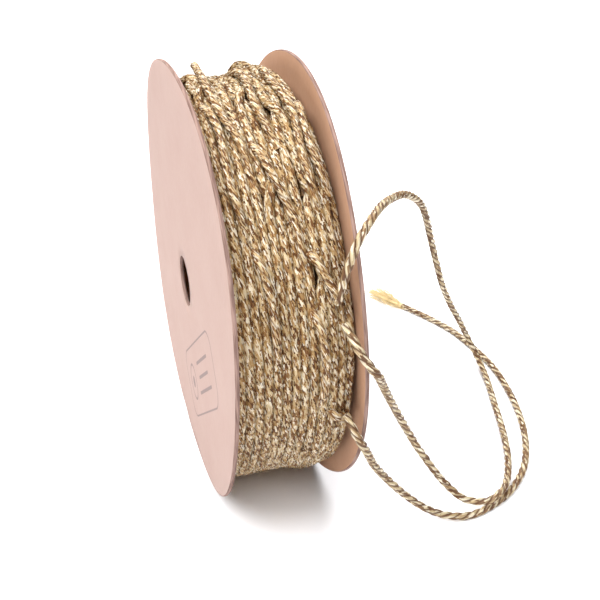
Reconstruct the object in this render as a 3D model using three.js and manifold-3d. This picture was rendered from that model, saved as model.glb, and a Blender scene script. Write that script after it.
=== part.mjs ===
// Metallic twisted cord wound on a kraft board spool that stands on its two flanges.
// Millimetres, +Z up, origin on the floor below the middle of the spool, spool axis along X.
import * as THREE from 'three';
import Module from 'manifold-3d';
import { mergeVertices } from 'three/addons/utils/BufferGeometryUtils.js';

const wasm = await Module();
wasm.setup();

// Spool
const FLANGE_RADIUS = 37.5;
const BOARD = 0.65;
const SPOOL_WIDTH = 20.5;
const HOLE_RADIUS = 4.45;
const FLAT_SPOT = 8;
const CORE_RADIUS = 15;
const CORE_WALL = 1.5;
const GAP = 0.3;

// Cord and its winding
const CORD_DIAMETER = 1.35;
const TURNS_ACROSS = 13;
const WOUND_RADIUS = 34.5;
const LOOSE_DROP = 0.7;
const SWELL = { place: 4.4, width: 2.6, neat: 0.8, loose: 0.7 };
const SUNK_TURN = { depth: 2.2, startX: 7.4, endX: 8.6, fromAngle: 0.3, toAngle: 2.7, blend: 0.3 };
const GROOVE_DEPTH = 0.42;
const WINDING_STEPS = 60;
const COLUMNS_PER_TURN = 4;
const TUBE_SIDES = 8;
const TUBE_STEP = 4.2;

// Frayed end
const FIBRE_RADIUS = 0.22;
const FIBRE_SIDES = 3;
const FIBRE_STEPS = 5;
const ROOT_LENGTH = 1.6;

const AXIS_HEIGHT = Math.sqrt(FLANGE_RADIUS ** 2 - (FLAT_SPOT / 2) ** 2);
const INNER_FACE = SPOOL_WIDTH / 2 - BOARD;
const WOUND_HALF = INNER_FACE - GAP;
const PITCH = (2 * WOUND_HALF) / TURNS_ACROSS;
const CORD_RADIUS = CORD_DIAMETER / 2;

// Colours
const KRAFT = 0xe3c3b1;
const KRAFT_INSIDE = 0xbf8f6a;
const GOLD = 0xc2a063;
const PALE_GOLD = 0xf0deb4;

// The springy loop: out of the winding, over the far flange, down to the floor and back.
const LOOP_ROUTE = [
  [5.6, -34.2, 49.3], [6.3, -34.5, 52.4], [7.2, -34.5, 55.6], [8.7, -33.7, 58.3],
  [11.0, -31.5, 59.7], [13.7, -27.9, 59.7], [18.2, -21.6, 58.1], [24.1, -14.2, 55.1],
  [28.1, -10.1, 52.0], [31.4, -6.5, 48.1], [36.9, 0.0, 37.4], [42.0, 4.2, 25.8],
  [46.0, 7.2, 18.6], [49.8, 9.4, 12.5], [53.4, 10.7, 6.1], [54.9, 8.3, 2.3],
  [54.3, 3.2, 1.0], [51.8, -5.2, 0.7], [48.5, -15.2, 0.9], [44.4, -24.2, 1.8],
  [39.4, -31.1, 2.8], [35.3, -32.9, 2.7], [31.5, -31.9, 3.3], [28.6, -30.7, 5.9],
  [23.3, -29.6, 14.0], [18.4, -31.1, 23.2], [14.5, -33.8, 31.0], [11.5, -37.5, 37.0],
  [10.2, -39.6, 39.5], [8.9, -39.9, 41.4], [7.7, -38.7, 43.3], [7.0, -37.1, 45.0],
  [6.4, -35.6, 46.7],
];

// The loose end: over the far flange, then flat on the floor to its frayed tip.
const END_ROUTE = [
  [7.1, -35.2, 30.1], [7.5, -36.4, 29.1], [8.1, -37.4, 27.6], [9.5, -37.1, 24.8],
  [11.3, -35.2, 20.9], [13.3, -33.0, 16.6], [16.0, -31.7, 12.2], [19.6, -31.4, 7.5],
  [23.6, -32.0, 3.6], [27.6, -32.9, 1.5], [32.1, -33.4, 0.7], [37.1, -32.2, 0.7],
  [42.2, -29.7, 0.7], [47.5, -24.9, 0.7], [51.5, -18.6, 0.7], [54.5, -11.3, 0.7],
  [56.7, -2.7, 0.7], [57.8, 6.3, 0.7], [57.3, 14.1, 0.7], [55.7, 23.0, 0.7],
  [53.0, 29.5, 0.7], [49.0, 37.1, 0.7],
];

// Fibres of the frayed tip: heading in degrees beside the cord's own, length, rise, sideways bow.
const FIBRES = [
  { heading: -26, length: 7.0, rise: 0.5, bow: -0.8 },
  { heading: -17, length: 8.6, rise: 1.9, bow: 0.7 },
  { heading: -10, length: 9.4, rise: 0.3, bow: -0.5 },
  { heading: -4, length: 8.2, rise: 1.5, bow: 0.9 },
  { heading: 3, length: 9.8, rise: 2.6, bow: -0.7 },
  { heading: 8, length: 8.8, rise: 0.4, bow: 0.6 },
  { heading: 15, length: 9.6, rise: 2.0, bow: -0.4 },
  { heading: 22, length: 7.6, rise: 0.8, bow: 0.8 },
  { heading: 30, length: 6.4, rise: 0.3, bow: 0.5 },
];

function part(name, geometry, color, metalness = 0) {
  const material = new THREE.MeshStandardMaterial({ color, roughness: 0.7, metalness });
  const mesh = new THREE.Mesh(geometry, material);
  mesh.name = name;
  return mesh;
}

// A board disc with its spindle hole and the small flat that it stands on.
function flangeGeometry() {
  const flatAngle = Math.asin(FLAT_SPOT / 2 / FLANGE_RADIUS);
  const outline = new THREE.Shape();
  outline.absarc(0, 0, FLANGE_RADIUS, flatAngle - Math.PI / 2, 1.5 * Math.PI - flatAngle, false);
  outline.closePath();
  const hole = new THREE.EllipseCurve(0, 0, HOLE_RADIUS, HOLE_RADIUS, 0, 2 * Math.PI, true);
  outline.holes.push(new THREE.Path().setFromPoints(hole.getPoints(32)));
  return new THREE.ExtrudeGeometry(outline, {
    depth: BOARD, bevelEnabled: false, curveSegments: 48,
  });
}

// Stands a disc that was drawn in XY upright, with its thickness along X from a given place.
function placeFlange(mesh, x) {
  const upright = new THREE.Matrix4().makeBasis(
    new THREE.Vector3(0, 1, 0), new THREE.Vector3(0, 0, 1), new THREE.Vector3(1, 0, 0));
  mesh.quaternion.setFromRotationMatrix(upright);
  mesh.position.set(x, 0, AXIS_HEIGHT);
  return mesh;
}

function coreTube() {
  const inside = CORE_RADIUS - CORE_WALL;
  const half = WOUND_HALF;
  const profile = [
    [inside, -half], [CORE_RADIUS, -half], [CORE_RADIUS, half], [inside, half], [inside, -half],
  ].map(([r, y]) => new THREE.Vector2(r, y));
  const mesh = part('core_tube', new THREE.LatheGeometry(profile, 48), KRAFT_INSIDE);
  mesh.rotation.z = -Math.PI / 2;
  mesh.position.z = AXIS_HEIGHT;
  return mesh;
}

const bump = (value, centre, width) => Math.exp(-(((value - centre) / width) ** 2));

// Angle round the spool: 0 at the front (-Y), a quarter turn at the top.
// The turns lie neatly below and wander above, where the last layer was laid loosely.
function jumble(angle) {
  return 0.5 + 0.5 * Math.cos(angle - 1.6);
}

function turnShift(turn, angle) {
  const loose = jumble(angle);
  const wave = Math.sin(2 * angle + 1.7 * turn) + 0.7 * Math.sin(3 * angle - 2.3 * turn);
  const inside = Math.sin((Math.PI * turn) / TURNS_ACROSS);
  return 0.28 * loose * wave * inside;
}

const { smoothstep } = THREE.MathUtils;

// 1 where the upper turns are sunk by the far flange, 0 in front, below and behind
function sunkShare(angle) {
  const { fromAngle, toAngle, blend } = SUNK_TURN;
  return smoothstep(angle, fromAngle - blend / 2, fromAngle + blend / 2)
    - smoothstep(angle, toAngle - blend, toAngle + blend);
}

// Height of a turn's crest: a swell right of the middle and a sunk last turn by the far flange.
function crestRadius(x, turn, angle) {
  const loose = jumble(angle);
  const swell = (SWELL.neat + SWELL.loose * loose) * bump(x, SWELL.place, SWELL.width);
  const sunk = SUNK_TURN.depth * smoothstep(x, SUNK_TURN.startX, SUNK_TURN.endX);
  const ragged = 0.16 * loose * Math.sin(2.1 * turn * turn + 2 * angle);
  return WOUND_RADIUS - LOOSE_DROP * loose + swell - sunk * sunkShare(angle) + ragged;
}

// Two strands that ride over the others, each from one place to another on the wound face.
const CROSSINGS = [
  { fromX: -5.0, toX: -3.2, from: 1.7, to: 1.0, lift: 0.8 },
  { fromX: 2.9, toX: 4.6, from: 0.62, to: 0.44, lift: 0.6 },
];

function crossingLift(x, angle) {
  let lift = 0;
  for (const strand of CROSSINGS) {
    const along = (angle - strand.from) / (strand.to - strand.from);
    const ends = smoothstep(along, -0.15, 0.1) - smoothstep(along, 0.9, 1.15);
    const centre = strand.fromX + (strand.toX - strand.fromX) * along;
    lift += strand.lift * ends * bump(x, centre, CORD_RADIUS);
  }
  return lift;
}

// One ring: ridged outer face, flat sides and a plain bore round the core tube.
function windingGeometry() {
  const columns = TURNS_ACROSS * COLUMNS_PER_TURN + 1;
  const row = columns + 2;
  const positions = [];
  const indices = [];
  const push = (x, r, angle) => {
    positions.push(x, -r * Math.cos(angle), AXIS_HEIGHT + r * Math.sin(angle));
  };
  for (let step = 0; step < WINDING_STEPS; step += 1) {
    const angle = (2 * Math.PI * step) / WINDING_STEPS;
    for (let column = 0; column < columns; column += 1) {
      const across = column / COLUMNS_PER_TURN;
      const turn = Math.min(Math.floor(across), TURNS_ACROSS - 1);
      const edge = column === 0 || column === columns - 1;
      const shift = edge ? 0 : turnShift(across, angle);
      const x = -WOUND_HALF + across * PITCH + shift;
      const groove = GROOVE_DEPTH * (1 - Math.sin(Math.PI * (across - turn)));
      push(x, crestRadius(x, turn, angle) - groove + crossingLift(x, angle), angle);
    }
    push(WOUND_HALF, CORE_RADIUS + GAP, angle);
    push(-WOUND_HALF, CORE_RADIUS + GAP, angle);
  }
  for (let step = 0; step < WINDING_STEPS; step += 1) {
    const here = step * row;
    const next = ((step + 1) % WINDING_STEPS) * row;
    for (let column = 0; column < row; column += 1) {
      const other = (column + 1) % row;
      indices.push(here + column, here + other, next + column);
      indices.push(here + other, next + other, next + column);
    }
  }
  const geometry = new THREE.BufferGeometry();
  geometry.setAttribute('position', new THREE.Float32BufferAttribute(positions, 3));
  geometry.setIndex(indices);
  geometry.computeVertexNormals();
  return geometry;
}

function smoothPath(route) {
  const points = route.map((point) => new THREE.Vector3(...point));
  return new THREE.CatmullRomCurve3(points, false, 'centripetal');
}

function polygon(radius, sides) {
  const section = new THREE.Shape();
  for (let side = 0; side < sides; side += 1) {
    const angle = (2 * Math.PI * side) / sides;
    const corner = [radius * Math.cos(angle), radius * Math.sin(angle)];
    if (side === 0) section.moveTo(...corner);
    else section.lineTo(...corner);
  }
  section.closePath();
  return section;
}

function tube(route, radius, sides, steps) {
  return new THREE.ExtrudeGeometry(polygon(radius, sides), {
    steps, bevelEnabled: false, extrudePath: smoothPath(route),
  });
}

function cord(name, route) {
  const length = smoothPath(route).getLength();
  const steps = Math.round(length / TUBE_STEP);
  return part(name, tube(route, CORD_RADIUS, TUBE_SIDES, steps), GOLD, 0.4);
}

function toManifold(geometry) {
  const bare = geometry.clone();
  bare.deleteAttribute('normal');
  bare.deleteAttribute('uv');
  const merged = mergeVertices(bare, 1e-4);
  return new wasm.Manifold(new wasm.Mesh({
    numProp: 3,
    vertProperties: new Float32Array(merged.attributes.position.array),
    triVerts: new Uint32Array(merged.index.array),
  }));
}

function fromManifold(solid) {
  const mesh = solid.getMesh();
  const geometry = new THREE.BufferGeometry();
  geometry.setAttribute('position', new THREE.BufferAttribute(mesh.vertProperties, 3));
  geometry.setIndex(new THREE.BufferAttribute(mesh.triVerts, 1));
  geometry.computeVertexNormals();
  return geometry;
}

// The untwisted tip: fibres that fan out on the floor from one short root.
function frayedTip() {
  const last = new THREE.Vector3(...END_ROUTE[END_ROUTE.length - 1]);
  const before = new THREE.Vector3(...END_ROUTE[END_ROUTE.length - 2]);
  const ahead = last.clone().sub(before).setZ(0).normalize();
  const side = new THREE.Vector3(-ahead.y, ahead.x, 0);
  const place = (along, sideways, up) => last.clone()
    .addScaledVector(ahead, along).addScaledVector(side, sideways).setZ(up).toArray();
  const root = [place(GAP, 0, CORD_RADIUS), place(GAP + ROOT_LENGTH, 0, CORD_RADIUS)];
  let solid = toManifold(tube(root, CORD_RADIUS * 0.92, TUBE_SIDES, 1));
  for (const fibre of FIBRES) {
    const heading = THREE.MathUtils.degToRad(fibre.heading);
    const route = [];
    for (let step = 0; step <= FIBRE_STEPS; step += 1) {
      const t = step / FIBRE_STEPS;
      const along = GAP + ROOT_LENGTH * 0.6 + fibre.length * t * Math.cos(heading);
      const spread = Math.sin(heading) * fibre.length * t ** 1.3;
      const sideways = spread + fibre.bow * Math.sin(Math.PI * t);
      const settled = THREE.MathUtils.lerp(CORD_RADIUS, FIBRE_RADIUS, t);
      const lifted = fibre.rise * t * Math.sin((Math.PI * t) / 2);
      route.push(place(along, sideways, settled + lifted));
    }
    solid = solid.add(toManifold(tube(route, FIBRE_RADIUS, FIBRE_SIDES, FIBRE_STEPS)));
  }
  return part('frayed_tip', fromManifold(solid), PALE_GOLD, 0.2);
}

const spool = new THREE.Group();
spool.add(placeFlange(part('flange_near', flangeGeometry(), KRAFT), -SPOOL_WIDTH / 2));
spool.add(placeFlange(part('flange_far', flangeGeometry(), KRAFT_INSIDE), INNER_FACE));
spool.add(coreTube());

const textile = new THREE.Group();
textile.add(part('winding', windingGeometry(), GOLD, 0.4));
textile.add(cord('cord_loop', LOOP_ROUTE));
textile.add(cord('cord_end', END_ROUTE));
textile.add(frayedTip());

const model = new THREE.Group();
model.add(spool, textile);

export default model;
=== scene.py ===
# %% [markdown]
# # A metallic cord on a kraft board spool
# This notebook dresses a fixed model: a spool of two board discs, the cord wound on it, a loop that
# springs out of the winding and a loose end with a frayed tip. The model says where everything is and
# how large. The cells below make what the eye sees: the twist of the plies, the glint of the metallised
# film, the fibres of the board and the soft studio light. Lengths are written in millimetres.

# %% Load the frame and read the sizes from it
import math

import bmesh
import bpy
import numpy as np
from mathutils import Matrix, Vector


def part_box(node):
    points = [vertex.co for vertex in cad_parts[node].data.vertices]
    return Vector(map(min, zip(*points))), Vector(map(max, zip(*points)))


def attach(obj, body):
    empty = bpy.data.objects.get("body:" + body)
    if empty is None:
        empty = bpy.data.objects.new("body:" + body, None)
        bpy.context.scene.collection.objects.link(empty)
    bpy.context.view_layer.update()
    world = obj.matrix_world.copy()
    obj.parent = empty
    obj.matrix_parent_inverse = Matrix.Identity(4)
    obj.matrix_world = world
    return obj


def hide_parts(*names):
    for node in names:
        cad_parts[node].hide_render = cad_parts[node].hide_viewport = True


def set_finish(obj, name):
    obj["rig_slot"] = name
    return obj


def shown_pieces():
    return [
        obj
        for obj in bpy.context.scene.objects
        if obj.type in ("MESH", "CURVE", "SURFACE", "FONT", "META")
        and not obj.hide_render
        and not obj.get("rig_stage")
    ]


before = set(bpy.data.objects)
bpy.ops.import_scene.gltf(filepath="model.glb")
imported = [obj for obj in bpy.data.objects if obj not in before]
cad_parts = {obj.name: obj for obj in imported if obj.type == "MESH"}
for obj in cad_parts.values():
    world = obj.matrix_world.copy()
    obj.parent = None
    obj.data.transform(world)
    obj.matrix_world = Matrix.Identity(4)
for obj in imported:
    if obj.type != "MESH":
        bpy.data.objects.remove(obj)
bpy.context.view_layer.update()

MM = 0.001
near_low, near_high = (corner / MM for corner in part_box("flange_near"))
FLANGE_RADIUS = (near_high.y - near_low.y) / 2
AXIS_HEIGHT = near_high.z - FLANGE_RADIUS
OUTER_FACE = -near_low.x
INNER_FACE = -near_high.x
BOARD = OUTER_FACE - INNER_FACE
print(f"flange radius {FLANGE_RADIUS:.2f}, axis at {AXIS_HEIGHT:.2f}, board {BOARD:.2f} mm")

# %% [markdown]
# ## Camera
# The camera looks down at the spool from the front left. Its heading, tilt, distance and focal length
# were fitted to the outlines of the two flanges and of the hole, on a square image of 600 pixels.
# The spool sits left of the middle, because the loose cord needs the room on the right.

# %% Camera
IMAGE_SIDE = 600
FOCAL_PIXELS = 855.9
HEADING = math.radians(17.19)
TILT = math.radians(30.39)
DISTANCE = 152.19
SPOOL_RIGHT_PIXELS = -57.96
SPOOL_UP_PIXELS = 27.37

forward = Vector((math.sin(HEADING) * math.cos(TILT), math.cos(HEADING) * math.cos(TILT), -math.sin(TILT)))
rightward = Vector((math.cos(HEADING), -math.sin(HEADING), 0))
upward = rightward.cross(forward)
spool_centre = Vector((0, 0, AXIS_HEIGHT))
sideways = rightward * SPOOL_RIGHT_PIXELS + upward * SPOOL_UP_PIXELS
camera_place = spool_centre - (forward + sideways / FOCAL_PIXELS) * DISTANCE

camera_data = bpy.data.cameras.new("camera")
camera_data.sensor_width = 36
camera_data.lens = camera_data.sensor_width * FOCAL_PIXELS / IMAGE_SIDE
camera_data.clip_start = 0.005
camera = bpy.data.objects.new("camera", camera_data)
axes = Matrix((rightward, upward, -forward)).transposed()
camera.matrix_world = Matrix.Translation(camera_place * MM) @ axes.to_4x4()
bpy.context.scene.collection.objects.link(camera)
bpy.context.scene.camera = camera
bpy.context.scene.view_settings.view_transform = "Standard"
print("camera at", [round(v, 1) for v in camera_place], "lens", round(camera_data.lens, 1))

# %% [markdown]
# ## Helpers for nodes and colours
# Colours are written as the sRGB hex values that a paint picker shows, and Blender's sockets want
# linear light, so one function turns the one into the other. One more adds a node to a tree, sets its
# properties and fills its inputs, either with a value or with a link from another node's output.

# %% Helpers
def linear(hex_colour):
    channels = [int(hex_colour[i:i + 2], 16) / 255 for i in (1, 3, 5)]
    return [c / 12.92 if c <= 0.04045 else ((c + 0.055) / 1.055) ** 2.4 for c in channels] + [1.0]


def add(tree, kind, inputs=None, **settings):
    node = tree.nodes.new(kind)
    for name, value in settings.items():
        setattr(node, name, value)
    for key, value in (inputs or {}).items():
        if isinstance(value, bpy.types.NodeSocket):
            tree.links.new(value, node.inputs[key])
        else:
            node.inputs[key].default_value = value
    return node


def material(name):
    made = bpy.data.materials.new(name)
    made.use_nodes = True
    made.node_tree.nodes.clear()
    return made, made.node_tree


def link_object(name, data):
    made = bpy.data.objects.new(name, data)
    bpy.context.scene.collection.objects.link(made)
    return made


def triangles(piece):
    return sum(len(face.vertices) - 2 for face in piece.data.polygons)

# %% [markdown]
# ## Where the loose cord runs
# Two strands leave the winding over the far flange. One is a springy loop that arches down to the floor
# and comes back. The other lies on the floor and ends in a frayed tip. Each route is a short list of
# points. They were first picked by hand along the strands of the photo, with guessed depths, and then
# a scratch script moved them to the lines of sight of the refitted camera. A centripetal Catmull-Rom
# curve runs through them, which neither overshoots nor kinks where the points are unevenly spaced.

# %% Routes
LOOP_ROUTE = [
    (5.6, -34.2, 49.3), (6.3, -34.5, 52.4), (7.2, -34.5, 55.6), (8.7, -33.7, 58.3),
    (11.0, -31.5, 59.7), (13.7, -27.9, 59.7), (18.2, -21.6, 58.1), (24.1, -14.2, 55.1),
    (28.1, -10.1, 52.0), (31.4, -6.5, 48.1), (36.9, 0.0, 37.4), (42.0, 4.2, 25.8),
    (46.0, 7.2, 18.6), (49.8, 9.4, 12.5), (53.4, 10.7, 6.1), (54.9, 8.3, 2.3),
    (54.3, 3.2, 1.0), (51.8, -5.2, 0.7), (48.5, -15.2, 0.9), (44.4, -24.2, 1.8),
    (39.4, -31.1, 2.8), (35.3, -32.9, 2.7), (31.5, -31.9, 3.3), (28.6, -30.7, 5.9),
    (23.3, -29.6, 14.0), (18.4, -31.1, 23.2), (14.5, -33.8, 31.0), (11.5, -37.5, 37.0),
    (10.2, -39.6, 39.5), (8.9, -39.9, 41.4), (7.7, -38.7, 43.3), (7.0, -37.1, 45.0),
    (6.4, -35.6, 46.7),
]
END_ROUTE = [
    (7.1, -35.2, 30.1), (7.5, -36.4, 29.1), (8.1, -37.4, 27.6), (9.5, -37.1, 24.8),
    (11.3, -35.2, 20.9), (13.3, -33.0, 16.6), (16.0, -31.7, 12.2), (19.6, -31.4, 7.5),
    (23.6, -32.0, 3.6), (27.6, -32.9, 1.5), (32.1, -33.4, 0.7), (37.1, -32.2, 0.7),
    (42.2, -29.7, 0.7), (47.5, -24.9, 0.7), (51.5, -18.6, 0.7), (54.5, -11.3, 0.7),
    (56.7, -2.7, 0.7), (57.8, 6.3, 0.7), (57.3, 14.1, 0.7), (55.7, 23.0, 0.7),
    (53.0, 29.5, 0.7), (49.0, 37.1, 0.7),
]


def smooth_path(route, per_span=12):
    points = [np.array(point, float) for point in route]
    points = [2 * points[0] - points[1]] + points + [2 * points[-1] - points[-2]]
    path = []
    for p0, p1, p2, p3 in zip(points, points[1:], points[2:], points[3:]):
        d0, d1, d2 = (math.sqrt(np.linalg.norm(b - a)) for a, b in ((p0, p1), (p1, p2), (p2, p3)))
        leave = ((p1 - p0) / d0 - (p2 - p0) / (d0 + d1) + (p2 - p1) / d1) * d1
        arrive = ((p2 - p1) / d1 - (p3 - p1) / (d1 + d2) + (p3 - p2) / d2) * d1
        for t in np.arange(per_span) / per_span:
            path.append((2 * t**3 - 3 * t**2 + 1) * p1 + (t**3 - 2 * t**2 + t) * leave
                        + (3 * t**2 - 2 * t**3) * p2 + (t**3 - t**2) * arrive)
    path.append(points[-2])
    return np.array(path)


def path_length(path):
    return float(np.linalg.norm(np.diff(path, axis=0), axis=1).sum())


loop_path = smooth_path(LOOP_ROUTE)
end_path = smooth_path(END_ROUTE)
print(f"loop {path_length(loop_path):.1f} mm, loose end {path_length(end_path):.1f} mm")

# %% [markdown]
# ## The finish of the cord
# The cord is three plies of thin yarn and slit metallised polyester film, twisted together. Up close it
# is a mosaic of gold film and brown yarn. A Voronoi texture gives each fleck its own small tilt, so that
# a few at a time flash in the light, and its own colour, drawn at random from a scale of dark brown to
# cream. That spread is partly the film's and the yarn's own colour and partly painted glint and painted
# shade. The grooves between the plies take a darker brown, which is painted shade. The cells are
# stretched along the ply, as slit film lies. The texture reads the attribute "cord", a place in
# millimetres on the straightened cord, so that it follows the twist.
# The loose strands carry longer flecks than the wound ones, as they look in the photo.

# %% Cord materials
CORD_RADIUS = 0.675
WOUND_FLECK = (0.6, 0.17)
LOOSE_FLECK = (1.1, 0.3)
# Shares of the cord's radius where the painted groove shade is full and where it ends
FULL_GROOVE_SHADE_SHARE = 0.72
NO_GROOVE_SHADE_SHARE = 0.98


def metallised_film(name, tones_with_painted_glint_and_shade, groove_shade_colour, metallic, roughness, glint, fleck=WOUND_FLECK):
    fleck_length, fleck_width = fleck
    made, tree = material(name)
    place = add(tree, "ShaderNodeAttribute", attribute_name="cord").outputs["Vector"]
    stretch = (1 / fleck_length, 1 / fleck_width, 1 / fleck_width)
    cells = add(tree, "ShaderNodeMapping", {"Vector": place, "Scale": stretch})
    flecks = add(tree, "ShaderNodeTexVoronoi", {"Vector": cells.outputs[0], "Scale": 1.0})
    tone = add(tree, "ShaderNodeSeparateColor", {"Color": flecks.outputs["Color"]})
    # Each fleck gets a colour at random; the cream end is partly painted glint, the dark end partly painted
    # shade
    scale = add(tree, "ShaderNodeValToRGB", {"Fac": tone.outputs["Red"]})
    stops = scale.color_ramp.elements
    while len(stops) < len(tones_with_painted_glint_and_shade):
        stops.new(1.0)
    for stop, (place_on_scale, colour) in zip(stops, tones_with_painted_glint_and_shade):
        stop.position = place_on_scale
        stop.color = linear(colour)
    # Painted shade in the grooves: 0 in the groove between two plies, where the groove colour is painted, 1
    # on the top of a ply
    parts = add(tree, "ShaderNodeSeparateXYZ", {"Vector": place})
    across = add(tree, "ShaderNodeCombineXYZ", {"Y": parts.outputs["Y"], "Z": parts.outputs["Z"]})
    radius = add(tree, "ShaderNodeVectorMath", {0: across.outputs[0]}, operation="LENGTH")
    free_of_groove_shade = add(tree, "ShaderNodeMapRange", {
        "Value": radius.outputs["Value"], "From Min": CORD_RADIUS * FULL_GROOVE_SHADE_SHARE,
        "From Max": CORD_RADIUS * NO_GROOVE_SHADE_SHARE})
    colour = add(tree, "ShaderNodeMix", {
        0: free_of_groove_shade.outputs[0], 6: linear(groove_shade_colour), 7: scale.outputs[0]}, data_type="RGBA")
    # Each fleck leans its own way, so that a few at a time flash
    lean = add(tree, "ShaderNodeVectorMath", {
        0: flecks.outputs["Color"], 1: (0.5, 0.5, 0.5)}, operation="SUBTRACT")
    lean = add(tree, "ShaderNodeVectorMath", {0: lean.outputs[0], "Scale": glint}, operation="SCALE")
    facing = add(tree, "ShaderNodeNewGeometry").outputs["Normal"]
    normal = add(tree, "ShaderNodeVectorMath", {0: facing, 1: lean.outputs[0]}, operation="ADD")
    normal = add(tree, "ShaderNodeVectorMath", {0: normal.outputs[0]}, operation="NORMALIZE")
    shader = add(tree, "ShaderNodeBsdfPrincipled", {
        "Base Color": colour.outputs[2], "Metallic": metallic, "Roughness": roughness,
        "Normal": normal.outputs[0]})
    add(tree, "ShaderNodeOutputMaterial", {"Surface": shader.outputs[0]})
    return made


# The scales run from dark brown to cream: partly the cord's own colours, partly painted glint and painted
# shade
gold_film = metallised_film(
    "gold_lurex_plies",
    [(0.0, "#422508"), (0.25, "#744A22"), (0.5, "#A88654"), (0.75, "#C8B48E"), (1.0, "#E2DAC8")],
    "#5A381C", metallic=0.3, roughness=0.7, glint=0.25)
loose_film = metallised_film(
    "gold_lurex_plies_of_loose_cord",
    [(0.0, "#573820"), (0.25, "#7C5C3A"), (0.45, "#AE9670"), (0.7, "#CCBC98"), (1.0, "#ECE2CA")],
    "#5A3A20", metallic=0.2, roughness=0.55, glint=0.45, fleck=LOOSE_FLECK)
# A darker copy of the cord's colours: painted shade for the layer below the last one and for the bed
film_in_painted_shade = metallised_film(
    "lurex_plies_in_painted_shade",
    [(0.0, "#3A2516"), (0.5, "#6E4F30"), (1.0, "#A5824F")],
    "#2E1C10", metallic=0.4, roughness=0.5, glint=0.7)
print("cord materials:", gold_film.name, loose_film.name, film_in_painted_shade.name)

# %% [markdown]
# ## A tree that twists a cord
# On the real cord, three plies lie round each other in a left-handed twist. The same tree makes every
# strand: it samples the path evenly, turns the profile a little at each step and sweeps a three-lobed
# section along it. Before the sweep it stores how far along the cord each point lies and where it sits
# on the section, which becomes the attribute that the material reads.

# %% Twisted cord tree
LAY_LENGTH = 5.6
PLIES = 3
GROOVE = 0.2
FLECK_TWIST = 0.35
LOBE_POWER = 0.7


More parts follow.
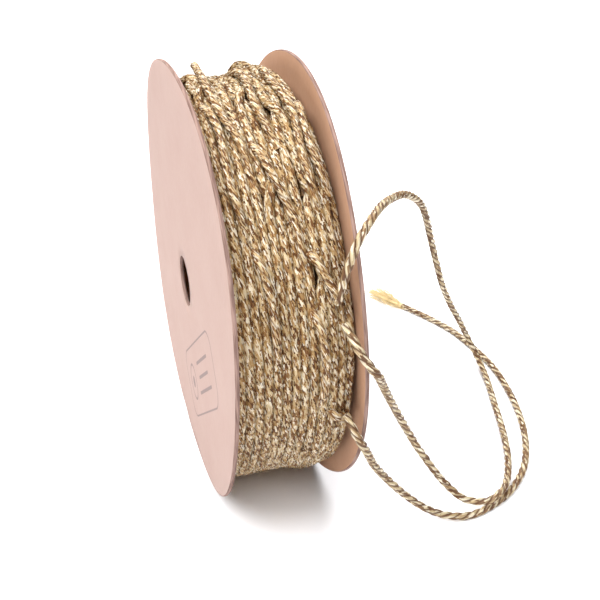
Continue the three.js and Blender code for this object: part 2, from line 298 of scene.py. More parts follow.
def cord_tree():
    tree = bpy.data.node_groups.new("twisted_cord", "GeometryNodeTree")
    face = tree.interface
    face.new_socket("Path", in_out="INPUT", socket_type="NodeSocketGeometry")
    for name in ("Radius", "Plies", "Lay", "Groove", "Step"):
        face.new_socket(name, in_out="INPUT", socket_type="NodeSocketFloat")
    face.new_socket("Sides", in_out="INPUT", socket_type="NodeSocketInt")
    face.new_socket("Material", in_out="INPUT", socket_type="NodeSocketMaterial")
    face.new_socket("Cord", in_out="OUTPUT", socket_type="NodeSocketGeometry")
    given = add(tree, "NodeGroupInput").outputs
    # The path, sampled evenly and turned as it goes
    path = add(tree, "GeometryNodeResampleCurve", {
        "Curve": given["Path"], "Length": given["Step"]}, mode="LENGTH")
    along = add(tree, "GeometryNodeSplineParameter").outputs["Length"]
    rate = add(tree, "ShaderNodeMath", {0: -2 * math.pi, 1: given["Lay"]}, operation="DIVIDE")
    turn = add(tree, "ShaderNodeMath", {0: along, 1: rate.outputs[0]}, operation="MULTIPLY")
    turned = add(tree, "GeometryNodeSetCurveTilt", {"Curve": path.outputs[0], "Tilt": turn.outputs[0]})
    marked = add(tree, "GeometryNodeStoreNamedAttribute", {
        "Geometry": turned.outputs[0], "Name": "along", "Value": along}, data_type="FLOAT", domain="POINT")
    marked = add(tree, "GeometryNodeStoreNamedAttribute", {
        "Geometry": marked.outputs[0], "Name": "heading",
        "Value": add(tree, "GeometryNodeInputTangent").outputs[0]}, data_type="FLOAT_VECTOR", domain="POINT")
    # The section: a circle pressed in between the plies
    circle = add(tree, "GeometryNodeCurvePrimitiveCircle", {"Resolution": given["Sides"], "Radius": 1.0})
    spot = add(tree, "GeometryNodeSplineParameter").outputs["Factor"]
    half_turns = add(tree, "ShaderNodeMath", {0: given["Plies"], 1: math.pi}, operation="MULTIPLY")
    angle = add(tree, "ShaderNodeMath", {0: spot, 1: half_turns.outputs[0]}, operation="MULTIPLY")
    wave = add(tree, "ShaderNodeMath", {0: angle.outputs[0]}, operation="COSINE")
    lobe = add(tree, "ShaderNodeMath", {0: wave.outputs[0]}, operation="ABSOLUTE")
    lobe = add(tree, "ShaderNodeMath", {0: lobe.outputs[0], 1: LOBE_POWER}, operation="POWER")
    body = add(tree, "ShaderNodeMath", {0: 1.0, 1: given["Groove"]}, operation="SUBTRACT")
    reach = add(tree, "ShaderNodeMath", {
        0: lobe.outputs[0], 1: given["Groove"], 2: body.outputs[0]}, operation="MULTIPLY_ADD")
    reach = add(tree, "ShaderNodeMath", {0: reach.outputs[0], 1: given["Radius"]}, operation="MULTIPLY")
    corner = add(tree, "ShaderNodeVectorMath", {
        0: add(tree, "GeometryNodeInputPosition").outputs[0], "Scale": reach.outputs[0]}, operation="SCALE")
    section = add(tree, "GeometryNodeSetPosition", {
        "Geometry": circle.outputs[0], "Position": corner.outputs[0]})
    spread = add(tree, "GeometryNodeStoreNamedAttribute", {
        "Geometry": section.outputs[0], "Name": "section",
        "Value": add(tree, "GeometryNodeInputPosition").outputs[0]}, data_type="FLOAT_VECTOR", domain="POINT")
    # The sweep, then one attribute in millimetres for the material
    swept = add(tree, "GeometryNodeCurveToMesh", {
        "Curve": marked.outputs[0], "Profile Curve": spread.outputs[0], "Fill Caps": True})
    kept_along = add(tree, "GeometryNodeInputNamedAttribute", {"Name": "along"}, data_type="FLOAT")
    kept_section = add(tree, "GeometryNodeInputNamedAttribute", {
        "Name": "section"}, data_type="FLOAT_VECTOR")
    flat = add(tree, "ShaderNodeSeparateXYZ", {0: kept_section.outputs[0]})
    joined = add(tree, "ShaderNodeCombineXYZ", {
        0: kept_along.outputs[0], 1: flat.outputs[0], 2: flat.outputs[1]})
    back_rate = add(tree, "ShaderNodeMath", {0: rate.outputs[0], 1: 1 - FLECK_TWIST}, operation="MULTIPLY")
    back_turn = add(tree, "ShaderNodeMath", {
        0: kept_along.outputs[0], 1: back_rate.outputs[0]}, operation="MULTIPLY")
    untwisted = add(tree, "ShaderNodeVectorRotate", {
        "Vector": joined.outputs[0], "Angle": back_turn.outputs[0]}, rotation_type="X_AXIS")
    in_mm = add(tree, "ShaderNodeVectorMath", {0: untwisted.outputs[0], "Scale": 1 / MM}, operation="SCALE")
    placed = add(tree, "GeometryNodeStoreNamedAttribute", {
        "Geometry": swept.outputs[0], "Name": "cord", "Value": in_mm.outputs[0]},
        data_type="FLOAT_VECTOR", domain="POINT")
    smooth = add(tree, "GeometryNodeSetShadeSmooth", {"Geometry": placed.outputs[0]})
    whole = add(tree, "GeometryNodeRealizeInstances", {"Geometry": smooth.outputs[0]})
    dressed = add(tree, "GeometryNodeSetMaterial", {
        "Geometry": whole.outputs[0], "Material": given["Material"]})
    add(tree, "NodeGroupOutput", {"Cord": dressed.outputs[0]})
    return tree


CORD_TREE = cord_tree()


def twist(name, paths, finish, sides=24, step=0.3, radius=CORD_RADIUS, plies=PLIES, groove=GROOVE):
    curve = bpy.data.curves.new(name + "_path", "CURVE")
    curve.dimensions = "3D"
    for path in paths:
        spline = curve.splines.new("POLY")
        spline.points.add(len(path) - 1)
        rows = np.column_stack([path * MM, np.ones(len(path))])
        spline.points.foreach_set("co", rows.ravel())
    guide = link_object(name + "_path", curve)
    modifier = guide.modifiers.new("twist", "NODES")
    modifier.node_group = CORD_TREE
    values = {"Radius": radius * MM, "Plies": float(plies), "Lay": LAY_LENGTH * MM, "Groove": groove,
              "Step": step * MM, "Sides": sides, "Material": finish}
    for socket in CORD_TREE.interface.items_tree:
        if socket.name in values:
            modifier[socket.identifier] = values[socket.name]
    seen = guide.evaluated_get(bpy.context.evaluated_depsgraph_get())
    mesh = bpy.data.meshes.new_from_object(seen)
    bpy.data.objects.remove(guide)
    mesh.name = name
    piece = link_object(name, mesh)
    print(f"{name}: {len(paths)} paths, {triangles(piece)} triangles")
    return piece

# %% [markdown]
# ## Slivers of film
# The slit film never lies quite flat on its yarn. Short slivers of it stand a little off the cord, each
# at its own slant, and they break up the smooth edge of the plies and bridge the gaps between the turns.
# A second tree scatters them over a finished cord and lays each along the cord's own heading.

# %% Sliver tree
SLIVER_LENGTH = 0.7
SLIVER_WIDTH = 0.16
SLIVER_LIFT = 0.03
SLIVER_DENSITY = 9.0
LEAST_OUTWARD = -0.1


def sliver_tree():
    tree = bpy.data.node_groups.new("film_slivers", "GeometryNodeTree")
    face = tree.interface
    face.new_socket("Cord", in_out="INPUT", socket_type="NodeSocketGeometry")
    for name in ("Density", "Length", "Width", "Lift", "Least Outward", "Axis Height"):
        face.new_socket(name, in_out="INPUT", socket_type="NodeSocketFloat")
    face.new_socket("Material", in_out="INPUT", socket_type="NodeSocketMaterial")
    face.new_socket("Slivers", in_out="OUTPUT", socket_type="NodeSocketGeometry")
    given = add(tree, "NodeGroupInput").outputs
    # Only where the cord faces away from the spool's axis
    spot = add(tree, "ShaderNodeSeparateXYZ", {0: add(tree, "GeometryNodeInputPosition").outputs[0]})
    height = add(tree, "ShaderNodeMath", {0: spot.outputs[2], 1: given["Axis Height"]}, operation="SUBTRACT")
    radial = add(tree, "ShaderNodeCombineXYZ", {1: spot.outputs[1], 2: height.outputs[0]})
    radial = add(tree, "ShaderNodeVectorMath", {0: radial.outputs[0]}, operation="NORMALIZE")
    facing = add(tree, "ShaderNodeVectorMath", {
        0: radial.outputs[0], 1: add(tree, "GeometryNodeInputNormal").outputs[0]}, operation="DOT_PRODUCT")
    outward = add(tree, "FunctionNodeCompare", {
        0: facing.outputs["Value"], 1: given["Least Outward"]}, data_type="FLOAT", operation="GREATER_THAN")
    scatter = add(tree, "GeometryNodeDistributePointsOnFaces", {
        "Mesh": given["Cord"], "Selection": outward.outputs[0], "Density": given["Density"], "Seed": 5})
    # Each lies on the surface, along the cord, then slants a little its own way
    heading = add(tree, "GeometryNodeInputNamedAttribute", {"Name": "heading"}, data_type="FLOAT_VECTOR")
    flat = add(tree, "FunctionNodeAlignRotationToVector", {
        "Vector": scatter.outputs["Normal"]}, axis="Z", pivot_axis="AUTO")
    along = add(tree, "FunctionNodeAlignRotationToVector", {
        "Rotation": flat.outputs[0], "Vector": heading.outputs[0]}, axis="X", pivot_axis="Z")
    slant = add(tree, "FunctionNodeRandomValue", {
        0: (-0.5, -0.25, -0.1), 1: (0.5, 0.25, 0.4), "Seed": 8}, data_type="FLOAT_VECTOR")
    turned = add(tree, "FunctionNodeRotateRotation", {
        "Rotation": along.outputs[0], "Rotate By": slant.outputs[0]}, rotation_space="LOCAL")
    sliver = add(tree, "GeometryNodeMeshGrid", {
        "Size X": given["Length"], "Size Y": given["Width"], "Vertices X": 2, "Vertices Y": 2})
    size = add(tree, "FunctionNodeRandomValue", {
        0: (0.6, 0.7, 1.0), 1: (1.3, 1.2, 1.0), "Seed": 3}, data_type="FLOAT_VECTOR")
    off = add(tree, "ShaderNodeVectorMath", {
        0: scatter.outputs["Normal"], "Scale": given["Lift"]}, operation="SCALE")
    raised = add(tree, "GeometryNodeSetPosition", {
        "Geometry": scatter.outputs[0], "Offset": off.outputs[0]})
    placed = add(tree, "GeometryNodeInstanceOnPoints", {
        "Points": raised.outputs[0], "Instance": sliver.outputs[0], "Rotation": turned.outputs[0],
        "Scale": size.outputs[0]})
    whole = add(tree, "GeometryNodeRealizeInstances", {"Geometry": placed.outputs[0]})
    dressed = add(tree, "GeometryNodeSetMaterial", {
        "Geometry": whole.outputs[0], "Material": given["Material"]})
    add(tree, "NodeGroupOutput", {"Slivers": dressed.outputs[0]})
    return tree


SLIVER_TREE = sliver_tree()


def slivers(name, cord, finish):
    made = link_object(name, cord.data.copy())
    modifier = made.modifiers.new("slivers", "NODES")
    modifier.node_group = SLIVER_TREE
    values = {"Density": SLIVER_DENSITY / MM**2, "Length": SLIVER_LENGTH * MM, "Width": SLIVER_WIDTH * MM,
              "Lift": SLIVER_LIFT * MM, "Least Outward": LEAST_OUTWARD, "Axis Height": AXIS_HEIGHT * MM,
              "Material": finish}
    for socket in SLIVER_TREE.interface.items_tree:
        if socket.name in values:
            modifier[socket.identifier] = values[socket.name]
    seen = made.evaluated_get(bpy.context.evaluated_depsgraph_get())
    mesh = bpy.data.meshes.new_from_object(seen)
    bpy.data.objects.remove(made)
    mesh.name = name
    piece = link_object(name, mesh)
    print(f"{name}: {triangles(piece)} triangles")
    return piece

# %% [markdown]
# ## The loop and the loose end
# Both strands run exactly where the model's plain tubes run, so each new strand replaces its tube.

# %% Loose strands
LOOSE_GROOVE = 0.34
loop = twist("loop_of_cord", [loop_path], loose_film, groove=LOOSE_GROOVE)
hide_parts("cord_loop")
loose_end = twist("loose_end_of_cord", [end_path], loose_film, groove=LOOSE_GROOVE)
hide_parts("cord_end")

# %% [markdown]
# ## The frayed tip
# Where the cord was cut, its plies have opened and the film and yarn fan out. It is made of many thin
# fibres that start inside the cord's last millimetre and spread along the floor, some in an upper wisp
# that stands off it. A seeded generator gives each fibre its heading, length and bow.

# %% Frayed tip
FIBRES = 90
FIBRE_RADIUS = 0.07
FIBRE_LENGTH = (7.5, 12.0)
WISP_SHARE = 0.4
rng = np.random.default_rng(7)
last, before = end_path[-1], end_path[-8]
ahead = np.append((last - before)[:2], 0)
ahead /= np.linalg.norm(ahead)
aside = np.array([-ahead[1], ahead[0], 0])


def fibre_path():
    wisp = rng.random() < WISP_SHARE
    heading = math.radians(rng.normal(12 if wisp else -6, 9))
    length = rng.uniform(*FIBRE_LENGTH)
    rise = rng.uniform(1.2, 2.4) if wisp else rng.uniform(0.0, 0.7)
    bow = rng.normal(0, 0.5)
    start_side, start_up = rng.uniform(-0.42, 0.42, 2)
    path = []
    for t in np.linspace(0, 1, 12):
        along = -1.0 + length * t * math.cos(heading)
        side = start_side * (1 + t) + math.sin(heading) * length * t**1.4 + bow * math.sin(math.pi * t)
        ripple = 0.1 * math.sin(9 * t + 40 * bow)
        up = CORD_RADIUS + start_up * (1 - t) + rise * math.sin(math.pi * t / 2) * t - 0.5 * t + ripple * t
        path.append(last + ahead * along + aside * side + np.array([0, 0, max(up, 0.12) - last[2]]))
    return np.array(path)


# These fibres are thinner than the radius where the groove colour is full, so it covers them all over; here
# it is no shade but the fibres' own pale colour
fray_film = metallised_film(
    "loose_film_and_yarn",
    [(0.0, "#C9A970"), (0.4, "#E6D5A8"), (1.0, "#FFFAEA")],
    "#DCC592", metallic=0.15, roughness=0.5, glint=0.5)
tuft = twist("frayed_tip_fibres", [fibre_path() for _ in range(FIBRES)], fray_film,
             sides=5, step=0.6, radius=FIBRE_RADIUS, plies=0, groove=0.0)
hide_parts("frayed_tip")

# %% [markdown]
# ## How the turns lie
# Thirteen turns sit side by side in the last layer. Below they lie neatly, and above they wander, cross
# and ride on each other, because that part was wound loosely. The cell starts from one long helix with
# a seeded wander and then pushes the turns apart wherever two come closer than a cord's width. What
# can't go sideways goes up, and the cord's own stiffness, a smoothing along the path, rounds it off.
# The wound cord is drawn a little thicker than its spacing, so that its turns press on each other.
# A second layer below it shows through the gaps, in darker cord colours that are painted shade.

# %% Lay the turns
TURNS = 13
STEPS_PER_TURN = 180
SIDE_GAP = 0.3
TURN_SPACING = 1.38
WOUND_CORD_RADIUS = 0.75
WOUND_GROOVE = 0.12
START_ANGLE = math.radians(-100)
LOOSE_ANGLE = 1.6
WANDER = 0.55
ROUNDS = 90
CREST_RADIUS = 34.7
LOOSE_DROP = 0.7
SWELL_PLACE, SWELL_WIDTH = 4.4, 2.6
SWELL_NEAT, SWELL_LOOSE = 0.8, 0.7
SUNK_DEPTH, SUNK_START, SUNK_END = 2.2, 7.4, 8.6
REACH = INNER_FACE - SIDE_GAP - CORD_RADIUS


def looseness(angle):
    return 0.5 + 0.5 * np.cos(angle - LOOSE_ANGLE)


def smoothstep(value, low, high):
    t = np.clip((value - low) / (high - low), 0, 1)
    return t * t * (3 - 2 * t)


def crest_radius(x, angle):
    loose = looseness(angle)
    turned = np.mod(angle + math.pi, 2 * math.pi) - math.pi
    above = smoothstep(turned, 0.15, 0.45) * (1 - smoothstep(turned, 2.4, 3.0))
    swell = (SWELL_NEAT + SWELL_LOOSE * loose) * np.exp(-(((x - SWELL_PLACE) / SWELL_WIDTH) ** 2))
    sunk = SUNK_DEPTH * smoothstep(x, SUNK_START, SUNK_END) * above
    return CREST_RADIUS - LOOSE_DROP * loose + swell - sunk


def laid_turns(seed, sink, lean):
    random = np.random.default_rng(seed)
    theta = np.arange(TURNS * STEPS_PER_TURN + 1) * 2 * math.pi / STEPS_PER_TURN
    angle = theta + START_ANGLE
    x = lean * REACH * (2 * theta / theta[-1] - 1)
    for rate in (1.31, 2.57, 4.83):
        x += WANDER * looseness(angle) ** 1.5 * np.sin(rate * theta + random.uniform(0, 6.28))
    r = crest_radius(x, angle) - CORD_RADIUS - sink
    for _ in range(ROUNDS):
        for apart in (1, 2, 3):
            gap = apart * STEPS_PER_TURN
            dx, dr = x[gap:] - x[:-gap], r[gap:] - r[:-gap]
            distance = np.hypot(dx, dr) + 1e-6
            push = np.clip(TURN_SPACING - distance, 0, None) / distance / 2
            x[gap:] += dx * push
            x[:-gap] -= dx * push
            r[gap:] += dr * push
            r[:-gap] -= dr * push
        x = np.clip(x, -REACH, REACH)
        bed = crest_radius(x, angle) - CORD_RADIUS - sink
        r = np.maximum(r + 0.1 * (bed - r), bed)
        for row in (x, r):
            row[1:-1] = (row[:-2] + 2 * row[1:-1] + row[2:]) / 4
    return x, r, angle


def on_spool(x, r, angle):
    return np.column_stack([x, -r * np.cos(angle), AXIS_HEIGHT + r * np.sin(angle)])


outer = laid_turns(seed=3, sink=0.0, lean=1)
under = laid_turns(seed=11, sink=1.25, lean=-1)
print(f"outer layer: radius {outer[1].min():.2f} to {outer[1].max():.2f} mm, {len(outer[0])} points")

# %% [markdown]
# ## Strands that ride over the turns
# Some strands cross the others. One ends in a cut stub that stands up at the top, one carries the end
# of the loop back into the winding and one leads to the loose end. These three follow the photo, and
# the others are made up in its manner. Each is a row of places on the wound face, given by the place
# along the axis and the angle. It rests on whatever turn lies below it, or sinks between the turns
# where it ends.

# %% Riding strands
END_SINK = 1.2
STUB_SINK = -1.4
SAME_PLACE = math.radians(1.6)


def riding_path(places, start_sink=END_SINK):
    flat = smooth_path([(x, degrees / 10, 0) for x, degrees in places], per_span=8)
    x, angle = flat[:, 0], np.radians(flat[:, 1] * 10)
    turned = np.mod(outer[2] - angle[:, None] + math.pi, 2 * math.pi) - math.pi
    beside = outer[0] - x[:, None]
    near = (np.abs(turned) < SAME_PLACE) & (np.abs(beside) < TURN_SPACING)
    lift = np.sqrt(np.clip(TURN_SPACING**2 - beside**2, 0, None))
    rest = np.where(near, outer[1] + lift, 0).max(axis=1)
    along = np.linspace(0, 1, len(x))
    for _ in range(12):
        rest[1:-1] = np.maximum(rest[1:-1], (rest[:-2] + rest[2:]) / 2)
    sink = start_sink * (1 - smoothstep(along, 0, 0.22)) + END_SINK * smoothstep(along, 0.78, 1)
    return on_spool(x, rest - sink, angle)


RIDERS = [
    [(-4.6, 105), (-4.8, 98), (-5.3, 86), (-4.8, 72), (-3.4, 61), (-2.7, 47)],
    [(2.9, 31.3), (3.8, 27.1), (5.2, 22.3), (5.7, 19.6)],
    [(4.8, -10), (6.3, -12.4), (7.5, -14)],
    [(-6.9, 78), (-5.9, 66), (-6.3, 50), (-5.2, 38)],
    [(0.2, 104), (1.2, 88), (0.6, 72), (2.0, 58)],
    [(5.2, 98), (4.2, 84), (5.3, 68), (4.4, 52), (5.0, 40)],
    [(-1.5, 62), (-0.2, 50), (1.4, 40), (2.0, 26)],
    [(7.4, 74), (6.2, 60), (7.2, 44)],
    [(-4.6, 34), (-3.4, 22), (-3.0, 6)],
    [(2.6, 18), (3.6, 6), (3.2, -8)],
    [(-0.6, 128), (-2.2, 142), (-1.4, 160), (-3.0, 176)],
    [(4.0, 132), (5.6, 150), (4.8, 170)],
]
riders = [riding_path(RIDERS[0], start_sink=STUB_SINK)] + [riding_path(places) for places in RIDERS[1:]]
print(len(riders), "riding strands")

# %% [markdown]
# ## The wound cord
# The outer layer is long, so it is cut into two pieces at the middle of the spool, which keeps each
# piece light. The layer below uses fewer points, since only small parts of it show, and darker colours
# that are painted shade.

# %% Winding
half = len(outer[0]) // 2
halves = {"wound_cord_near": slice(0, half + 1), "wound_cord_far": slice(half, None)}
wound_pieces = []
for name, span in halves.items():
    path = smooth_path(on_spool(*(row[span] for row in outer)), per_span=3)
    piece = twist(name, [path], gold_film, sides=15, step=0.36,
                  radius=WOUND_CORD_RADIUS, groove=WOUND_GROOVE)
    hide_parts("winding")
    film = slivers(name.replace("wound_cord", "slivers"), piece, gold_film)
    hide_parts("winding")
    wound_pieces += [piece, film]
under_path = smooth_path(on_spool(*under), per_span=2)
under_cord = twist("under_layer", [under_path], film_in_painted_shade, sides=9, step=0.8)
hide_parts("winding")
riding = twist("riding_strands", riders, gold_film, sides=18, step=0.3)
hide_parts("winding")

# %% [markdown]
# ## Rings
# The bed below the cord and the two board discs are all closed rings round the axis, so one function
# makes them. It takes the places that one section of the ring passes, as a row of points per place, and
# joins each row to the next. The faces between two rows share one finish.

# %% Ring function
RING_STEPS = 192
RING_ANGLES = np.linspace(0, 2 * math.pi, RING_STEPS, endpoint=False)


def closed_ring(name, rows, finishes, finish_of_row):
    verts = np.concatenate(rows)
    verts[:, 2] = np.maximum(verts[:, 2], 0)
    faces, finish_of_face = [], []
    for row in range(len(rows)):
        here, there = row * RING_STEPS, (row + 1) % len(rows) * RING_STEPS
        for step in range(RING_STEPS):
            after = (step + 1) % RING_STEPS
            faces.append((here + step, here + after, there + after, there + step))
            finish_of_face.append(finish_of_row[row])
    mesh = bpy.data.meshes.new(name)
    mesh.from_pydata((verts * MM).tolist(), [], faces)
    for finish in finishes:
        mesh.materials.append(finish)
    mesh.polygons.foreach_set("material_index", finish_of_face)
    shell = bmesh.new()
    shell.from_mesh(mesh)
    bmesh.ops.recalc_face_normals(shell, faces=shell.faces)
    shell.to_mesh(mesh)
    shell.free()
    mesh.shade_smooth()
    return link_object(name, mesh)

# %% [markdown]
# ## The bed below the cord
# Deeper layers never show as separate turns. A ring just below the second layer closes the view
# towards the core and fills the space between the two discs. It takes the darker cord colours that are
# painted shade.

# %% Bed
BED_SINK = 2.2
BED_ROWS = 13
CORE_CLEARANCE = 0.3
core_low, core_high = (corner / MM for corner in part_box("core_tube"))
inner_radius = (core_high.y - core_low.y) / 2 + CORE_CLEARANCE
wound_half = INNER_FACE - SIDE_GAP
rows = [on_spool(x + 0 * RING_ANGLES, crest_radius(x, RING_ANGLES) - BED_SINK, RING_ANGLES)
        for x in np.linspace(wound_half, -wound_half, BED_ROWS)]
rows += [on_spool(x + 0 * RING_ANGLES, inner_radius, RING_ANGLES) for x in (-wound_half, wound_half)]
bed = closed_ring("wound_bed", rows, [film_in_painted_shade], [0] * len(rows))
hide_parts("winding")
print("bed:", triangles(bed), "triangles")

# %% [markdown]
# ## Kraft board
# The discs are punched from grey-brown board. Outside it is covered with a paler, slightly pink kraft
# liner, and inside it shows a browner kraft sheet. That browner colour is partly the board's own and partly
# painted shade and painted reflection of the gold winding between the discs. Both are matt, with faint
# mottling and short fibres.
# The cut edge is darker and shows the sheets that the board is pressed from. All patterns are in
# millimetres, from the object's own coordinates.

# %% Board materials
MARK_CENTRE = (-9.9, 23.5)
MARK_TURN = math.radians(140.6)
INK = "#817371"


def board_paper(name, colour, fibre_colour, marked=False):
    made, tree = material(name)
    spot = add(tree, "ShaderNodeTexCoord").outputs["Object"]
    spot = add(tree, "ShaderNodeVectorMath", {0: spot, "Scale": 1 / MM}, operation="SCALE").outputs[0]
    cloud = add(tree, "ShaderNodeTexNoise", {"Vector": spot, "Scale": 0.12, "Detail": 3.0})
    fine = add(tree, "ShaderNodeMapping", {"Vector": spot, "Scale": (1.0, 3.2, 0.9)})
    fibre = add(tree, "ShaderNodeTexNoise", {"Vector": fine.outputs[0], "Scale": 1.1, "Detail": 4.0})
    both = add(tree, "ShaderNodeMath", {0: cloud.outputs[0], 1: fibre.outputs[0]}, operation="ADD")
    amount = add(tree, "ShaderNodeMapRange", {
        "Value": both.outputs[0], "From Min": 0.75, "From Max": 1.35, "To Max": 0.5})
    paint = add(tree, "ShaderNodeMix", {
        0: amount.outputs[0], 6: linear(colour), 7: linear(fibre_colour)}, data_type="RGBA")
    if marked:
        ink = add(tree, "ShaderNodeMath", {0: printed_mark(tree, spot), 1: 0.8}, operation="MULTIPLY")
        paint = add(tree, "ShaderNodeMix", {
            0: ink.outputs[0], 6: paint.outputs[2], 7: linear(INK)}, data_type="RGBA")
    relief = add(tree, "ShaderNodeBump", {
        "Height": fibre.outputs[0], "Strength": 0.25, "Distance": 0.05 * MM})
    shader = add(tree, "ShaderNodeBsdfPrincipled", {
        "Base Color": paint.outputs[2], "Roughness": 0.85, "Specular IOR Level": 0.2,
        "Normal": relief.outputs[0]})
    add(tree, "ShaderNodeOutputMaterial", {"Surface": shader.outputs[0]})
    return made


def printed_mark(tree, spot):
    """1 on the lines of a plain mark: an oblong outline, a ring with a dot and three bars."""
    centred = add(tree, "ShaderNodeVectorMath", {
        0: spot, 1: (0, MARK_CENTRE[0], MARK_CENTRE[1])}, operation="SUBTRACT")
    turned = add(tree, "ShaderNodeVectorRotate", {
        "Vector": centred.outputs[0], "Angle": -MARK_TURN}, rotation_type="X_AXIS")
    uv = add(tree, "ShaderNodeSeparateXYZ", {0: turned.outputs[0]})

    def count(operation, a, b=0.0):
        return add(tree, "ShaderNodeMath", {0: a, 1: b}, operation=operation).outputs[0]

    def box_distance(u, v, half_length, half_height):
        over_u = count("MAXIMUM", count("SUBTRACT", count("ABSOLUTE", u), half_length))
        over_v = count("MAXIMUM", count("SUBTRACT", count("ABSOLUTE", v), half_height))
        squares = [count("MULTIPLY", over, over) for over in (over_u, over_v)]
        return count("SQRT", count("ADD", *squares))

    def line(distance, at, half_width):
        return count("LESS_THAN", count("ABSOLUTE", count("SUBTRACT", distance, at)), half_width)

    u, v = uv.outputs[1], uv.outputs[2]
    outline = line(box_distance(u, v, 13.0, 2.8), 3.4, 0.16)
    left_of_ring = count("ADD", u, 9.5)
    from_ring = box_distance(left_of_ring, v, 0.0, 0.0)
    shapes = [outline, line(from_ring, 3.2, 0.22), count("LESS_THAN", from_ring, 1.1)]
    for place, half_length in ((2.6, 7.0), (0.0, 5.2), (-2.6, 6.2)):
        bar = box_distance(count("SUBTRACT", u, 4.0), count("SUBTRACT", v, place), half_length, 0.0)
        shapes.append(count("LESS_THAN", bar, 0.3))
    total = shapes[0]
    for shape in shapes[1:]:
        total = count("MAXIMUM", total, shape)
    return total


def cut_edge():
    made, tree = material("cut_edge_of_board")
    spot = add(tree, "ShaderNodeTexCoord").outputs["Object"]
    spot = add(tree, "ShaderNodeVectorMath", {0: spot, "Scale": 1 / MM}, operation="SCALE").outputs[0]
    flat = add(tree, "ShaderNodeMapping", {"Vector": spot, "Scale": (4.2, 0.25, 0.25)})
    sheets = add(tree, "ShaderNodeTexNoise", {"Vector": flat.outputs[0], "Scale": 1.0, "Detail": 3.0})
    spread = add(tree, "ShaderNodeMapRange", {
        "Value": sheets.outputs[0], "From Min": 0.35, "From Max": 0.65})
    paint = add(tree, "ShaderNodeMix", {
        0: spread.outputs[0], 6: linear("#755D55"), 7: linear("#A0857B")}, data_type="RGBA")
    shader = add(tree, "ShaderNodeBsdfPrincipled", {
        "Base Color": paint.outputs[2], "Roughness": 0.95, "Specular IOR Level": 0.1})
    add(tree, "ShaderNodeOutputMaterial", {"Surface": shader.outputs[0]})
    return made


kraft_liner = board_paper("kraft_liner", "#B69D93", "#AD9186")
marked_liner = board_paper("kraft_liner_with_ink_mark", "#B69D93", "#AD9186", marked=True)
# The inside is browner than the outside: partly the board's own colour, partly painted shade and painted
# reflection of the gold winding
inside_kraft_with_painted_shade = board_paper("board_inside_with_painted_shade", "#BB9378", "#A98062")
board_edge = cut_edge()

# %% [markdown]
# ## The discs
# Board of this kind seldom stays flat. The camera fit gave each disc a slight warp of less than a
# millimetre, written as three waves round the disc that grow outwards. Their six shares of the radius
# come from that fit. The rim is rounded a little by handling, the near disc has one small knock, and
# both are flat for 8 mm where the spool stands.

# %% Discs
HOLE_RADIUS = 4.45
NEAR_WARP = (0.0051, -0.0061, -0.0019, -0.0079, -0.0066, -0.0062)
FAR_WARP = (-0.0051, 0.0061, 0.0028, 0.0043, 0.0082, -0.0042)
RIM_ROUND = 0.15
FACE_ROWS = 14
KNOCK_PLACE, KNOCK_WIDTH, KNOCK_DEPTH = 253, 3.5, 0.5
OUTSIDE, INSIDE, EDGE = 0, 1, 2


def warp(coefficients, radius, angle):
    share = radius / FLANGE_RADIUS
    from_top = angle + 1.5 * math.pi
    offset = 0
    for wave in (1, 2, 3):
        cosine, sine = coefficients[2 * wave - 2:2 * wave]
        offset = offset + share**wave * (cosine * np.cos(wave * from_top) + sine * np.sin(wave * from_top))
    return FLANGE_RADIUS * offset


def board_disc(name, side, coefficients, finishes, knock_depth=0.0):
    rim, hole = FLANGE_RADIUS, HOLE_RADIUS
    corner = RIM_ROUND * 0.3
    out = np.linspace(hole, rim - RIM_ROUND, FACE_ROWS)
    section = [(BOARD, radius, OUTSIDE) for radius in out]
    section += [(BOARD - corner, rim - corner, EDGE), (BOARD - RIM_ROUND, rim, EDGE),
                (RIM_ROUND, rim, EDGE), (corner, rim - corner, EDGE)]
    section += [(0, radius, INSIDE) for radius in out[::-1]]
    for last_of_face in (FACE_ROWS - 1, -1):
        section[last_of_face] = (*section[last_of_face][:2], EDGE)
    knock = knock_depth * np.exp(-((np.degrees(RING_ANGLES) - KNOCK_PLACE) / KNOCK_WIDTH) ** 2)
    rows = []
    for depth, radius, _ in section:
        reach = radius - knock * (radius > rim - 1)
        x = side * (INNER_FACE + depth) + warp(coefficients, reach, RING_ANGLES)
        rows.append(on_spool(x, reach, RING_ANGLES))
    return closed_ring(name, rows, finishes, [which for _, _, which in section])


near_disc = board_disc("near_board_disc", -1, NEAR_WARP, [marked_liner, inside_kraft_with_painted_shade, board_edge],
                       KNOCK_DEPTH)
far_disc = board_disc("far_board_disc", 1, FAR_WARP, [kraft_liner, inside_kraft_with_painted_shade, board_edge])
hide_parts("flange_near")
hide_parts("flange_far")
for disc in (near_disc, far_disc):
    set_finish(disc, "kraft_board")
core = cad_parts["core_tube"]
# The core takes the inside colour, painted shade included
core.data.materials.clear()
core.data.materials.append(inside_kraft_with_painted_shade)
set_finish(core, "kraft_board")
print("discs:", triangles(near_disc), "triangles each")
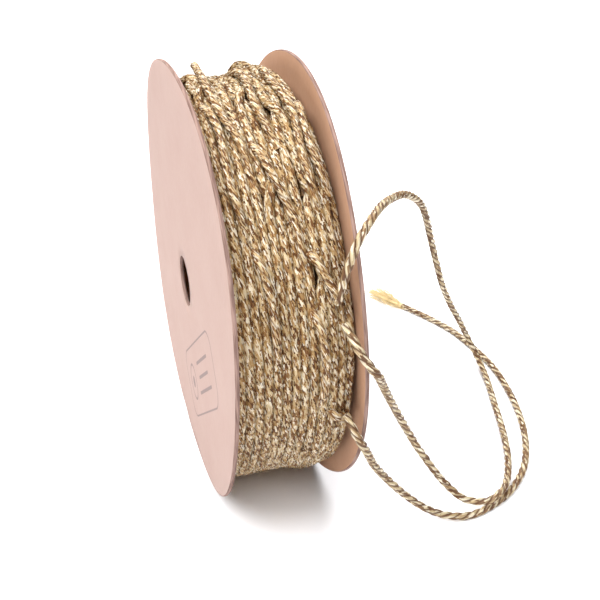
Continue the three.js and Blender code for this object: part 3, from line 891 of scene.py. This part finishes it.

# %% [markdown]
# ## Studio
# The photo is high-key: a white sweep under large soft lights. The key comes from above and the left,
# and one from the front and one from the back fill its shadows. Their powers were set to match the photo.
# The floor is lit to pure white, so that only the contact shadow under the spool and the faint ones
# under the loose cord stay.

# %% Stage and lights
floor_mesh = bpy.data.meshes.new("floor")
floor_mesh.from_pydata([(-2, -2, 0), (2, -2, 0), (2, 2, 0), (-2, 2, 0)], [], [(0, 1, 2, 3)])
floor = link_object("floor", floor_mesh)
floor_finish, tree = material("white_sweep")
paint = add(tree, "ShaderNodeBsdfPrincipled", {"Base Color": linear("#FAFAFD"), "Roughness": 0.8})
add(tree, "ShaderNodeOutputMaterial", {"Surface": paint.outputs[0]})
floor_mesh.materials.append(floor_finish)
floor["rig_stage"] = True

world = bpy.data.worlds.new("studio")
world.use_nodes = True
bpy.context.scene.world = world
surround = world.node_tree.nodes["Background"]
surround.inputs["Strength"].default_value = 0.05
surround.inputs["Color"].default_value = linear("#FFFFFF")


LIGHT_AIM = Vector((0, 0, 0.03))
LIGHT_WIDTH = 0.6


def soft_light(name, place, power):
    lamp = bpy.data.lights.new(name, "AREA")
    lamp.shape = "DISK"
    lamp.size = LIGHT_WIDTH
    lamp.energy = power
    holder = link_object(name, lamp)
    holder.location = Vector(place)
    holder.rotation_euler = (LIGHT_AIM - Vector(place)).to_track_quat("-Z", "Y").to_euler()
    print(f"light {name}: {power} W at {place} m")


soft_light("key", (-0.4, -0.1, 0.7), 7.6)
soft_light("front", (0.0, -0.4, 0.7), 5.6)
soft_light("back", (0.1, 0.5, 0.6), 6.4)

# %% [markdown]
# ## Finish
# Every piece rides on the spool's one body and takes the slot of its material.

# %% Finish
strands = (loop, loose_end, tuft)
for piece in (*strands, *wound_pieces, under_cord, riding, bed, near_disc, far_disc):
    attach(piece, "root")
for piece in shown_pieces():
    if "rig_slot" not in piece:
        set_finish(piece, "frayed_fibre" if piece is tuft else "gold_cord")
